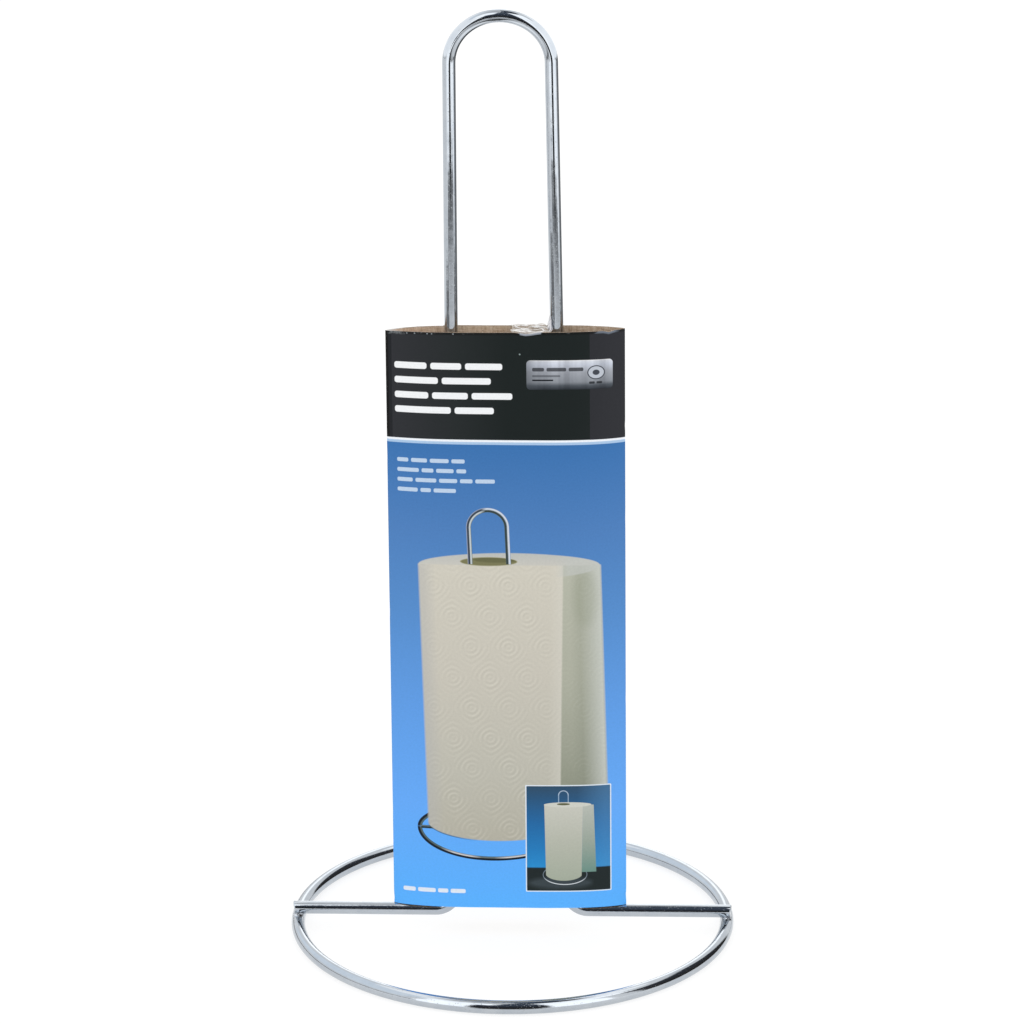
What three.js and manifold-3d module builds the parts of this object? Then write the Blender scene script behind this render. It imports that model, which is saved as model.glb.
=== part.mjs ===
// Wire paper towel holder in its retail dress, in millimetres, +Z up.
// The origin is the centre of the base ring, on the table. +X runs along the spokes, and the
// printed face of the card sleeve looks towards -Y.
//
// A ring of round wire stands on the table. One more wire, bent once, is welded across it: a
// spoke comes in from each side on top of the ring, turns up, and the two legs meet in a round
// arch. A flattened card sleeve is slipped over the legs and stands on the spokes, and a scrap
// of clear tape is stuck to one leg in the sleeve's mouth.

import * as THREE from 'three';
import { mergeVertices } from 'three/addons/utils/BufferGeometryUtils.js';
import Module from 'manifold-3d';

const wasm = await Module();
wasm.setup();

// ---- driving dimensions ---------------------------------------------------------------

const RING_OUTER_DIAMETER = 130;
const RING_WIRE = 4;
const HOLDER_HEIGHT = 280;

const UPRIGHT_WIRE = 3.8;
const UPRIGHT_Y = -2; // the spokes cross just in front of the ring's diameter
const SPOKE_END_X = 64; // cut ends, inside the ring's outer edge
const BEND_RADIUS = 6; // centreline radius of the two bottom bends
const LEG_SPACING_BOTTOM = 33; // between leg centrelines, where they meet the spokes
const LEG_SPACING_TOP = 28.8; // between leg centrelines, where the arch starts
const ARCH_RISE = 13.8; // centreline height of the arch
const LOOP_LEAN = -2.5; // sideways lean of the loop at its top

const SLEEVE_HEIGHT = 178;
const SLEEVE_CHORD = 68.2; // from crease to crease
const SLEEVE_FRONT_BULGE = 3.6;
const SLEEVE_BACK_BULGE = 4.1;
const SLEEVE_CENTRE_X = -0.6; // at the sleeve's lower edge
const SLEEVE_LEAN = -0.8; // sideways shift from the lower edge to the upper one
const CARD = 0.5; // thickness of the card
const CREASE_WALL = 1.3; // card measured along the chord, at a crease

const TAPE_WIDTH = 5.8;
const TAPE_THICKNESS = 0.25;
const TAPE_START_X = 0.6;
const TAPE_BEND_X = 9.8; // where the strip turns up beside the leg
const TAPE_TAB = 4; // how far it stands up there

const WELD_CENTRE_X = 62.3;
const WELD_RADII = new THREE.Vector3(2.7, 2.4, 1.45);

const REST_GAP = 0.1; // between pieces that rest on each other
const CUT_GAP = 0.2; // between a weld and the wires it joins
const TAPE_GAP = 0.4; // between the tape and the leg it is stuck to

// ---- sizes that follow from them ------------------------------------------------------

const RING_RADIUS = (RING_OUTER_DIAMETER - RING_WIRE) / 2;
const SPOKE_Z = RING_WIRE + REST_GAP + UPRIGHT_WIRE / 2;
const SLEEVE_BOTTOM = SPOKE_Z + UPRIGHT_WIRE / 2 + REST_GAP;
const SLEEVE_TOP = SLEEVE_BOTTOM + SLEEVE_HEIGHT;
const ARCH_BASE_Z = HOLDER_HEIGHT - UPRIGHT_WIRE / 2 - ARCH_RISE;
const WELD_Z = RING_WIRE + REST_GAP / 2;

// ---- facet counts ---------------------------------------------------------------------

const RING_SIDES = 14; // gives the wire a flat underneath and one on top
const RING_STEPS = 78;
const UPRIGHT_SIDES = 16;
const BEND_STEPS = 8;
const ARCH_STEPS = 30;
const PANEL_STEPS = 22;
const TAPE_STEPS = 26;

// ---- materials ------------------------------------------------------------------------

const metal = (color, roughness) =>
  new THREE.MeshStandardMaterial({ color, roughness, metalness: 1 });
const chrome = metal(0xd7dade, 0.08);
const weldMetal = metal(0xb9bcc0, 0.3);
const card = new THREE.MeshStandardMaterial({ color: 0x4c9ae6, roughness: 0.45, metalness: 0 });
const clearTape = new THREE.MeshStandardMaterial({
  color: 0xe8edf0,
  roughness: 0.15,
  metalness: 0,
  transparent: true,
  opacity: 0.45,
});

// ---- helpers --------------------------------------------------------------------------

// A path in the plane y = constant whose steps land on stations chosen beforehand: few on a
// straight, many in a bend.
class StationPath extends THREE.Curve {
  constructor(stations) {
    super();
    this.stations = stations;
  }

  get steps() {
    return this.stations.length - 1;
  }

  getPoint(t) {
    return this.getPointAt(t);
  }

  getPointAt(u) {
    return this.stations[Math.round(u * this.steps)].clone();
  }

  getTangentAt(u) {
    const i = Math.round(u * this.steps);
    const before = this.stations[Math.max(i - 1, 0)];
    const after = this.stations[Math.min(i + 1, this.steps)];
    const here = this.stations[i];
    const arriving = here.clone().sub(before).normalize();
    const leaving = after.clone().sub(here).normalize();
    return arriving.add(leaving).normalize();
  }

  computeFrenetFrames() {
    const tangents = this.stations.map((_, i) => this.getTangentAt(i / this.steps));
    const binormals = tangents.map(() => new THREE.Vector3(0, 1, 0));
    const normals = tangents.map((tangent, i) => binormals[i].clone().cross(tangent));
    return { tangents, normals, binormals };
  }
}

// A regular polygon whose flats lie `across` apart, with a flat facing along each axis.
function flatSidedSection(across, sides) {
  const radius = across / 2 / Math.cos(Math.PI / sides);
  const points = [];
  for (let i = 0; i < sides; i += 1) {
    const angle = ((i + 0.5) / sides) * 2 * Math.PI;
    points.push(new THREE.Vector2(radius * Math.cos(angle), radius * Math.sin(angle)));
  }
  return new THREE.Shape(points);
}

function sweep(section, stations) {
  const path = new StationPath(stations);
  return new THREE.ExtrudeGeometry(section, {
    steps: path.steps,
    extrudePath: path,
    bevelEnabled: false,
  });
}

function namedMesh(name, geometry, material) {
  const mesh = new THREE.Mesh(geometry, material);
  mesh.name = name;
  return mesh;
}

function toSolid(geometry) {
  const bare = geometry.clone();
  bare.deleteAttribute('normal');
  bare.deleteAttribute('uv');
  const merged = mergeVertices(bare, 1e-4);
  return new wasm.Manifold(
    new wasm.Mesh({
      numProp: 3,
      vertProperties: new Float32Array(merged.attributes.position.array),
      triVerts: new Uint32Array(merged.index.array),
    }),
  );
}

function toGeometry(solid) {
  const mesh = solid.getMesh();
  const geometry = new THREE.BufferGeometry();
  geometry.setAttribute('position', new THREE.BufferAttribute(mesh.vertProperties, 3));
  geometry.setIndex(new THREE.BufferAttribute(mesh.triVerts, 1));
  geometry.computeVertexNormals();
  return geometry;
}

// ---- the wire frame -------------------------------------------------------------------

function ringGeometry(wire) {
  const tube = wire / 2 / Math.cos(Math.PI / RING_SIDES);
  return new THREE.TorusGeometry(RING_RADIUS, tube, RING_SIDES, RING_STEPS);
}

function baseRing() {
  const mesh = namedMesh('base_ring', ringGeometry(RING_WIRE), chrome);
  mesh.position.z = RING_WIRE / 2;
  return mesh;
}

// Stations round a bend of the wire at `corner`, coming from `from` and leaving for `to`.
function bendStations(from, corner, to) {
  const back = from.clone().sub(corner).normalize();
  const onward = to.clone().sub(corner).normalize();
  const halfAngle = back.angleTo(onward) / 2;
  const start = corner.clone().addScaledVector(back, BEND_RADIUS / Math.tan(halfAngle));
  const middle = back.clone().add(onward).normalize();
  const centre = corner.clone().addScaledVector(middle, BEND_RADIUS / Math.sin(halfAngle));
  const axis = onward.clone().cross(back).normalize();
  const sweepAngle = Math.PI - 2 * halfAngle;
  const stations = [];
  for (let i = 0; i <= BEND_STEPS; i += 1) {
    const arm = start.clone().sub(centre);
    arm.applyAxisAngle(axis, (sweepAngle * i) / BEND_STEPS);
    stations.push(centre.clone().add(arm));
  }
  return stations;
}

function archStations() {
  const stations = [];
  for (let i = 0; i <= ARCH_STEPS; i += 1) {
    const angle = (i / ARCH_STEPS) * Math.PI;
    const x = LOOP_LEAN - (LEG_SPACING_TOP / 2) * Math.cos(angle);
    stations.push(new THREE.Vector3(x, UPRIGHT_Y, ARCH_BASE_Z + ARCH_RISE * Math.sin(angle)));
  }
  return stations;
}

function uprightStations() {
  const at = (x, z) => new THREE.Vector3(x, UPRIGHT_Y, z);
  const arch = archStations();
  const leftEnd = at(-SPOKE_END_X, SPOKE_Z);
  const rightEnd = at(SPOKE_END_X, SPOKE_Z);
  const leftCorner = at(-LEG_SPACING_BOTTOM / 2, SPOKE_Z);
  const rightCorner = at(LEG_SPACING_BOTTOM / 2, SPOKE_Z);
  return [
    leftEnd,
    ...bendStations(leftEnd, leftCorner, arch[0]),
    ...arch,
    ...bendStations(arch[ARCH_STEPS], rightCorner, rightEnd),
    rightEnd,
  ];
}

function uprightLoop() {
  const section = flatSidedSection(UPRIGHT_WIRE, UPRIGHT_SIDES);
  return namedMesh('upright_loop', sweep(section, uprightStations()), chrome);
}

// A spoke alone, thickened all round by the gap that a weld keeps to it.
function spokeCutter(side) {
  const ends = [0, side * (SPOKE_END_X + CUT_GAP)];
  const stations = ends.map((x) => new THREE.Vector3(x, UPRIGHT_Y, SPOKE_Z));
  return toSolid(sweep(flatSidedSection(UPRIGHT_WIRE + 2 * CUT_GAP, UPRIGHT_SIDES), stations));
}

// The lump of metal squeezed out round a resistance weld, cut to the two crossing wires.
function weld(name, side) {
  const lump = new THREE.SphereGeometry(1, 28, 18);
  lump.scale(WELD_RADII.x, WELD_RADII.y, WELD_RADII.z);
  lump.translate(side * WELD_CENTRE_X, UPRIGHT_Y, WELD_Z);
  const ring = ringGeometry(RING_WIRE + 2 * CUT_GAP).translate(0, 0, RING_WIRE / 2);
  const cut = toSolid(lump).subtract(toSolid(ring)).subtract(spokeCutter(side));
  return namedMesh(name, toGeometry(cut), weldMetal);
}

// ---- the retail dress -----------------------------------------------------------------

// Points along one panel of the sleeve, flat in the middle and falling to the creases.
function panelPoints(halfChord, bulge) {
  const points = [];
  for (let i = 0; i < PANEL_STEPS; i += 1) {
    const u = 1 - (2 * i) / PANEL_STEPS;
    points.push(new THREE.Vector2(halfChord * u, bulge * (1 - u ** 4)));
  }
  return points;
}

// The closed outline of the flattened tube: the back panel, then the front one.
function sleeveOutline(halfChord, frontBulge, backBulge) {
  const back = panelPoints(halfChord, backBulge);
  const front = panelPoints(-halfChord, -frontBulge);
  return [...back, ...front];
}

function cardSleeve() {
  const halfChord = SLEEVE_CHORD / 2;
  const section = new THREE.Shape(
    sleeveOutline(halfChord, SLEEVE_FRONT_BULGE, SLEEVE_BACK_BULGE),
  );
  const inside = sleeveOutline(
    halfChord - CREASE_WALL,
    SLEEVE_FRONT_BULGE - CARD,
    SLEEVE_BACK_BULGE - CARD,
  );
  section.holes.push(new THREE.Path(inside));
  const tube = new THREE.ExtrudeGeometry(section, {
    depth: SLEEVE_HEIGHT,
    bevelEnabled: false,
  });
  const lean = new THREE.Matrix4().makeShear(0, 0, 0, 0, SLEEVE_LEAN / SLEEVE_HEIGHT, 0);
  tube.applyMatrix4(lean);
  const mesh = namedMesh('card_sleeve', tube, card);
  mesh.position.set(SLEEVE_CENTRE_X, UPRIGHT_Y, SLEEVE_BOTTOM);
  return mesh;
}

// Where the right leg's centreline is at height z.
function rightLegX(z) {
  const bottom = LEG_SPACING_BOTTOM / 2;
  const top = LOOP_LEAN + LEG_SPACING_TOP / 2;
  return THREE.MathUtils.mapLinear(z, SPOKE_Z, ARCH_BASE_Z, bottom, top);
}

// A crinkled strip across the sleeve's mouth that turns up beside the right leg.
function tapeStrip() {
  const legSide = rightLegX(SLEEVE_TOP + TAPE_TAB) - UPRIGHT_WIRE / 2 - TAPE_GAP;
  const stations = [];
  for (let i = 0; i <= TAPE_STEPS; i += 1) {
    const u = i / TAPE_STEPS;
    const x = THREE.MathUtils.lerp(TAPE_START_X, TAPE_BEND_X, u);
    const crinkle = 0.3 * Math.sin(17 * u) - 0.9 * Math.sin(Math.PI * u);
    stations.push(new THREE.Vector3(x, UPRIGHT_Y, SLEEVE_TOP - 0.4 + crinkle));
  }
  const tabX = legSide - TAPE_THICKNESS / 2;
  stations.push(new THREE.Vector3((TAPE_BEND_X + tabX) / 2, UPRIGHT_Y, SLEEVE_TOP));
  stations.push(new THREE.Vector3(tabX, UPRIGHT_Y, SLEEVE_TOP + TAPE_TAB / 4));
  stations.push(new THREE.Vector3(tabX, UPRIGHT_Y, SLEEVE_TOP + TAPE_TAB));
  const halfThickness = TAPE_THICKNESS / 2;
  const halfWidth = TAPE_WIDTH / 2;
  const section = new THREE.Shape([
    new THREE.Vector2(-halfThickness, -halfWidth),
    new THREE.Vector2(halfThickness, -halfWidth),
    new THREE.Vector2(halfThickness, halfWidth),
    new THREE.Vector2(-halfThickness, halfWidth),
  ]);
  return namedMesh('tape_strip', sweep(section, stations), clearTape);
}

// ---- assembly -------------------------------------------------------------------------

const holder = new THREE.Group();
holder.add(baseRing(), uprightLoop(), weld('weld_left', -1), weld('weld_right', 1));

const dress = new THREE.Group();
dress.add(cardSleeve(), tapeStrip());

const group = new THREE.Group();
group.add(holder, dress);

export default group;
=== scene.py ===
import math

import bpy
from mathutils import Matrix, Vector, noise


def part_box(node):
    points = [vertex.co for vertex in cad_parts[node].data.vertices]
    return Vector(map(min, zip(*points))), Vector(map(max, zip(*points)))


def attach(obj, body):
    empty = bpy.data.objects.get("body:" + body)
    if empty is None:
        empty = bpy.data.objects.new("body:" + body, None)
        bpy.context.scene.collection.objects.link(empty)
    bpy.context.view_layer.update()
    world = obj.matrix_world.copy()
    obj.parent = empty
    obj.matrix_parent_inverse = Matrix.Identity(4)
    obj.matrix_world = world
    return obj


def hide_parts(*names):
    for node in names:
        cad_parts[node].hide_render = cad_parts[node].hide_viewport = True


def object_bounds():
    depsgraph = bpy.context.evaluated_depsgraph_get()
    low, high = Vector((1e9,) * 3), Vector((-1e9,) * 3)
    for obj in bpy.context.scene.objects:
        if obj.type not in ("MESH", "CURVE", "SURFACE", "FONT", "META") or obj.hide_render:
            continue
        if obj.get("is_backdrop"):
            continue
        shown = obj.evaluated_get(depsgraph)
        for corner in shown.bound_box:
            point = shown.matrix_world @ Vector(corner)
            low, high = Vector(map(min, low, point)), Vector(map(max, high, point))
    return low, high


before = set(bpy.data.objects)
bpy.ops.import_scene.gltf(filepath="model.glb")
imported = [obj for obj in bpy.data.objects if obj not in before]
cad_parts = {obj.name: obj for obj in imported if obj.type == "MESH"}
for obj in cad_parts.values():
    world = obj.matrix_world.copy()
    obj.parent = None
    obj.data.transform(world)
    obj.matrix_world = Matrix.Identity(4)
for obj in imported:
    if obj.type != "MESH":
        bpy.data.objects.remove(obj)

# A chromed wire paper towel holder in its printed card sleeve.
#
# The frame is in metres. Shapes here are worked out in millimetres, like the print on the
# sleeve, and `build` turns them into metres. Places come from the boxes of the CAD nodes.

cad_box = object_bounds()

MM = 0.001
UP = Vector((0, 0, 1))


# ---- sizes read from the frame ----


def box_mm(node):
    low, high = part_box(node)
    return Vector(low) / MM, Vector(high) / MM


ring_low, ring_high = box_mm("base_ring")
loop_low, loop_high = box_mm("upright_loop")
sleeve_low, sleeve_high = box_mm("card_sleeve")
tape_low, tape_high = box_mm("tape_strip")

RING_WIRE = ring_high.z - ring_low.z
RING_RADIUS = ring_high.y - RING_WIRE / 2

UPRIGHT_WIRE = loop_high.y - loop_low.y
UPRIGHT_Y = (loop_high.y + loop_low.y) / 2
SPOKE_Z = loop_low.z + UPRIGHT_WIRE / 2
SPOKE_END_X = loop_high.x
BEND_RADIUS = 6
LEG_SPACING_BOTTOM = 33
LEG_SPACING_TOP = 28.8
ARCH_RISE = 13.8
LOOP_LEAN = -2.5
ARCH_BASE_Z = loop_high.z - UPRIGHT_WIRE / 2 - ARCH_RISE

SLEEVE_BOTTOM = sleeve_low.z
SLEEVE_HEIGHT = sleeve_high.z - sleeve_low.z
SLEEVE_LEAN = -0.8
SLEEVE_CHORD = sleeve_high.x - sleeve_low.x + SLEEVE_LEAN
SLEEVE_CENTRE_X = sleeve_high.x - SLEEVE_CHORD / 2
FRONT_BULGE = UPRIGHT_Y - sleeve_low.y
BACK_BULGE = sleeve_high.y - UPRIGHT_Y
CARD = 0.5
CREASE_WALL = 1.3
FRONT_DIP_X = 6.3  # where the tape pulls the front's upper edge down
FRONT_TEAR_X = 29.6

WELD_Z = RING_WIRE + (loop_low.z - RING_WIRE) / 2


# ---- small helpers ----


def lerp(a, b, t):
    return a + (b - a) * t


def smoothstep(low, high, x):
    t = min(max((x - low) / (high - low), 0), 1)
    return t * t * (3 - 2 * t)


def bump_at(x, centre, width):
    """A smooth hump, 1 at `centre` and nearly 0 beyond `width` from it."""
    return math.exp(-(((x - centre) / width) ** 2) * 2.5)


def ripple(x, y, z, wavelength, seed):
    """Smooth noise between about -1 and 1, with a hill every `wavelength` mm or so."""
    return noise.noise(Vector((x, y, z)) / wavelength + Vector((seed * 17.3, seed * 5.1, seed)))


class MeshDraft:
    """Points and faces in millimetres, with a material number and UVs for each face."""

    def __init__(self):
        self.points = []
        self.faces = []
        self.materials = []
        self.uvs = []

    def add_points(self, points):
        first = len(self.points)
        self.points.extend(points)
        return first

    def add_face(self, corners, uvs=None, material=0):
        self.faces.append(corners)
        self.uvs.append(uvs or [(0, 0)] * len(corners))
        self.materials.append(material)

    def add_grid(self, first, rows, columns, uv=None, closed=(False, False), flip=False, material=0):
        """Quads over rows x columns points from point `first` on. `closed` joins the last row to
        the first, and the last column. `uv` takes a row and a column, which may run one past."""
        for i in range(rows if closed[0] else rows - 1):
            for j in range(columns if closed[1] else columns - 1):
                quad = [(i, j), (i, j + 1), (i + 1, j + 1), (i + 1, j)]
                quad = quad[::-1] if flip else quad
                corners = [first + row % rows * columns + column % columns for row, column in quad]
                self.add_face(corners, uv and [uv(row, column) for row, column in quad], material)

    def build(self, name, materials, uv_name, sharp_angle=None):
        mesh = bpy.data.meshes.new(name)
        mesh.from_pydata([Vector(point) * MM for point in self.points], [], self.faces)
        layer = mesh.uv_layers.new(name=uv_name)
        layer.data.foreach_set("uv", [value for face in self.uvs for uv in face for value in uv])
        for material in materials:
            mesh.materials.append(material)
        mesh.polygons.foreach_set("material_index", self.materials)
        mesh.shade_smooth()
        if sharp_angle:
            mesh.set_sharp_from_angle(angle=math.radians(sharp_angle))
        mesh.validate()
        mesh.update()
        obj = bpy.data.objects.new(name, mesh)
        bpy.context.scene.collection.objects.link(obj)
        return obj


def put_in_frame(obj, body, slot, *nodes):
    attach(obj, body)
    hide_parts(*nodes)


# ---- shader helpers ----


def grey(value):
    return (value, value, value, 1)


def srgb(red, green, blue):
    """A screen colour, 0 to 255, as the linear colour that a shader takes."""
    linear = []
    for value in (red, green, blue):
        part = value / 255
        linear.append(part / 12.92 if part <= 0.04045 else ((part + 0.055) / 1.055) ** 2.4)
    return (*linear, 1)


class Shader:
    """One material's nodes. Each is added after the ones that it reads."""

    def __init__(self, name):
        self.material = bpy.data.materials.new(name)
        self.material.use_nodes = True
        self.tree = self.material.node_tree
        self.tree.nodes.clear()

    def add(self, kind, inputs=(), output=0, **settings):
        node = self.tree.nodes.new("ShaderNode" + kind)
        for key, value in settings.items():
            setattr(node, key, value)
        pairs = inputs.items() if isinstance(inputs, dict) else enumerate(inputs)
        for key, value in pairs:
            if isinstance(value, bpy.types.NodeSocket):
                self.tree.links.new(value, node.inputs[key])
            elif value is not None:
                node.inputs[key].default_value = value
        return node.outputs[output]

    def math(self, operation, *values, clamp=False):
        return self.add("Math", values, operation=operation, use_clamp=clamp)

    def times(self, first, second):
        return self.math("MULTIPLY", first, second)

    def inverse(self, mask):
        return self.math("SUBTRACT", 1, mask)

    def line(self, value, slope, start, clamp=False):
        return self.math("MULTIPLY_ADD", value, slope, start, clamp=clamp)

    def vector(self, operation, *values):
        output = "Value" if operation in ("LENGTH", "DOT_PRODUCT", "DISTANCE") else "Vector"
        return self.add("VectorMath", values, output, operation=operation)

    def mix(self, factor, first, second, blend="MIX"):
        slots = {0: factor, 6: first, 7: second}
        return self.add("Mix", slots, 2, data_type="RGBA", blend_type=blend)

    def scale_range(self, value, from_low, from_high, to_low=0, to_high=1):
        return self.add("MapRange", (value, from_low, from_high, to_low, to_high))

    def ramp(self, value, stops):
        output = self.add("ValToRGB", (value,))
        elements = output.node.color_ramp.elements
        elements[0].position, elements[0].color = stops[0]
        elements[1].position, elements[1].color = stops[-1]
        for position, colour in stops[1:-1]:
            elements.new(position).color = colour
        return output

    def noise(self, place, scale, detail=3, roughness=0.55):
        inputs = {"Vector": place, "Scale": scale, "Detail": detail, "Roughness": roughness}
        return self.add("TexNoise", inputs)

    def object_place(self):
        """The point's place on the object, in millimetres."""
        place = self.add("TexCoord", output="Object")
        return self.vector("SCALE", place, None, None, 1 / MM)

    def uv_place(self, name):
        return self.add("UVMap", uv_map=name)

    def part(self, place, number):
        """One of a place's three numbers."""
        return self.add("SeparateXYZ", (place,), number)

    def stretched(self, place, x, y, z=1):
        return self.vector("MULTIPLY", place, (x, y, z))

    def bump(self, height, strength, distance_mm, normal=None):
        inputs = {"Height": height, "Strength": strength, "Distance": distance_mm * MM}
        if normal:
            inputs["Normal"] = normal
        return self.add("Bump", inputs)

    def output(self, surface):
        node = self.tree.nodes.new("ShaderNodeOutputMaterial")
        self.tree.links.new(surface, node.inputs["Surface"])

    def finish(self, **inputs):
        named = {key.replace("_", " "): value for key, value in inputs.items()}
        self.output(self.add("BsdfPrincipled", named))
        return self.material


# ---- metal ----

SMOOTH_FROM, SMOOTH_ABOVE = 200, 224  # heights between which the plating gets smoother
PIT = (0.20, 0.19, 0.18, 1)
WELD_STAIN = (0.22, 0.16, 0.10, 1)


def chrome_material():
    """Drawn steel wire under bright chrome: faint lines along it, pits and handling marks."""
    shader = Shader("chrome_wire")
    place = shader.object_place()
    along = shader.uv_place("wire")
    lines = shader.noise(shader.stretched(along, 2.6, 0.05), 1, 4, 0.6)
    haze = shader.noise(place, 0.22, 3, 0.6)
    peel = shader.noise(shader.stretched(along, 1.6, 1.1), 1, 3, 0.6)
    rise = shader.part(place, 2)
    peel = shader.times(peel, shader.scale_range(rise, SMOOTH_FROM, SMOOTH_ABOVE, 0.8, 0.1))
    pits = shader.noise(place, 2.4, 2, 0.5)
    pit_mask = shader.scale_range(pits, 0.67, 0.74)
    colour = shader.ramp(haze, [(0.3, (0.435, 0.474, 0.521, 1)), (0.7, (0.495, 0.53, 0.568, 1))])
    colour = shader.mix(shader.times(pit_mask, 0.5), colour, PIT)
    roughness = shader.scale_range(haze, 0.35, 0.75, 0.045, 0.11)
    roughness = shader.math("ADD", roughness, shader.times(pit_mask, 0.25))
    wobble = shader.noise(place, 0.12, 2, 0.4)
    normal = shader.bump(wobble, 0.5, 0.12)
    normal = shader.bump(lines, 0.25, 0.012, normal)
    normal = shader.bump(peel, 0.5, 0.018, normal)
    normal = shader.bump(shader.inverse(pit_mask), 0.6, 0.02, normal)
    return shader.finish(Base_Color=colour, Metallic=1, Roughness=roughness, Normal=normal)


def weld_material():
    """The plated-over lump of a resistance weld: bright and lumpy, with painted shade, nearly black, in
    its creases.
    """
    shader = Shader("weld_metal")
    place = shader.object_place()
    lumps = shader.noise(place, 1.1, 4, 0.6)
    stain = shader.noise(place, 0.6, 2, 0.5)
    # painted shade: the lump's creases made nearly black
    crease_shade = (0.05, 0.045, 0.04, 1)
    plated = (0.40, 0.43, 0.47, 1)
    polished = (0.62, 0.65, 0.69, 1)
    colour = shader.ramp(lumps, [(0.38, crease_shade), (0.45, plated), (0.7, polished)])
    colour = shader.mix(shader.scale_range(stain, 0.6, 0.75, 0, 0.35), colour, WELD_STAIN)
    roughness = shader.scale_range(lumps, 0.35, 0.6, 0.45, 0.1)
    normal = shader.bump(lumps, 0.7, 0.22)
    return shader.finish(Base_Color=colour, Metallic=1, Roughness=roughness, Normal=normal)


# ---- card ----


def kraft_material():
    """Bare recycled board, as seen inside the sleeve: fibres both ways and darker flecks, under painted
    shade that darkens it towards the right.
    """
    shader = Shader("kraft_board")
    place = shader.object_place()
    upright = shader.noise(shader.stretched(place, 2.2, 2.2, 0.35), 1, 5, 0.65)
    level = shader.noise(shader.stretched(place, 0.4, 0.4, 2.6), 1, 5, 0.65)
    fibres = shader.line(upright, 0.5, shader.times(level, 0.5))
    dark, middle, pale = srgb(176, 146, 116), srgb(212, 187, 160), srgb(230, 210, 188)
    colour = shader.ramp(fibres, [(0.36, dark), (0.5, middle), (0.64, pale)])
    flecks = shader.noise(place, 1.7, 2, 0.5)
    colour = shader.mix(shader.scale_range(flecks, 0.66, 0.72, 0, 0.6), colour, srgb(128, 98, 70))
    across = shader.scale_range(shader.part(place, 0), -34, 34)
    # painted shade: the board darkened towards the right of the sleeve's inside
    left, middle, right = (1, 0.97, 0.97, 1), (0.93, 0.93, 0.9, 1), (0.75, 0.75, 0.73, 1)
    painted_shade_across = shader.ramp(across, [(0, left), (0.25, middle), (1, right)])
    colour = shader.vector("MULTIPLY", shader.vector("MULTIPLY", colour, (1.16, 1.22, 1.33)), painted_shade_across)
    normal = shader.bump(fibres, 0.5, 0.08)
    return shader.finish(Base_Color=colour, Roughness=0.88, Specular_IOR_Level=0.25, Normal=normal)


def board_core_material():
    """The board's cut edge, a little furry: paler at the torn left corner, and pale bluish where the
    clear tape lies over it, a painted highlight of the tape.
    """
    shader = Shader("board_core")
    place = shader.object_place()
    fur = shader.noise(place, 3.2, 4, 0.7)
    dark, middle, pale = srgb(120, 102, 86), srgb(160, 142, 124), srgb(216, 208, 198)
    colour = shader.ramp(fur, [(0.35, dark), (0.55, middle), (0.68, pale)])
    at_x = shader.part(place, 0)
    torn = shader.scale_range(at_x, -30, -33, 0, 0.8)
    colour = shader.mix(torn, colour, srgb(216, 214, 212))
    # painted highlight: the clear tape's pale bluish sheen where it crosses the front edge
    from_dip = shader.math("ABSOLUTE", shader.math("SUBTRACT", at_x, FRONT_DIP_X - 0.5))
    tape_highlight = shader.scale_range(from_dip, 3, 3.8, 0.8, 0)
    in_front = shader.math("LESS_THAN", at_x.node.outputs[1], UPRIGHT_Y)
    colour = shader.mix(shader.times(tape_highlight, in_front), colour, srgb(190, 196, 206))
    normal = shader.bump(fur, 0.7, 0.1)
    return shader.finish(Base_Color=colour, Roughness=0.9, Specular_IOR_Level=0.2, Normal=normal)


# ---- the sleeve's print ----
#
# Print coordinates are millimetres: across from the left crease of the front panel, on to the
# back panel past SLEEVE_CHORD, and up from the lower edge. A tone is a screen colour, or a
# place on a ramp and a screen colour.

INK_EDGE = 0.13  # how far an ink edge fades
VARNISH_VEIL = 0.0115  # what the varnish reflects of the white studio, taken off each ink


def ink(red, green, blue):
    linear = srgb(red, green, blue)
    return (*(max(part - VARNISH_VEIL, 0) for part in linear[:3]), 1)


def inks(tones):
    return [(place, ink(*tone)) for place, *tone in tones]


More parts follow.
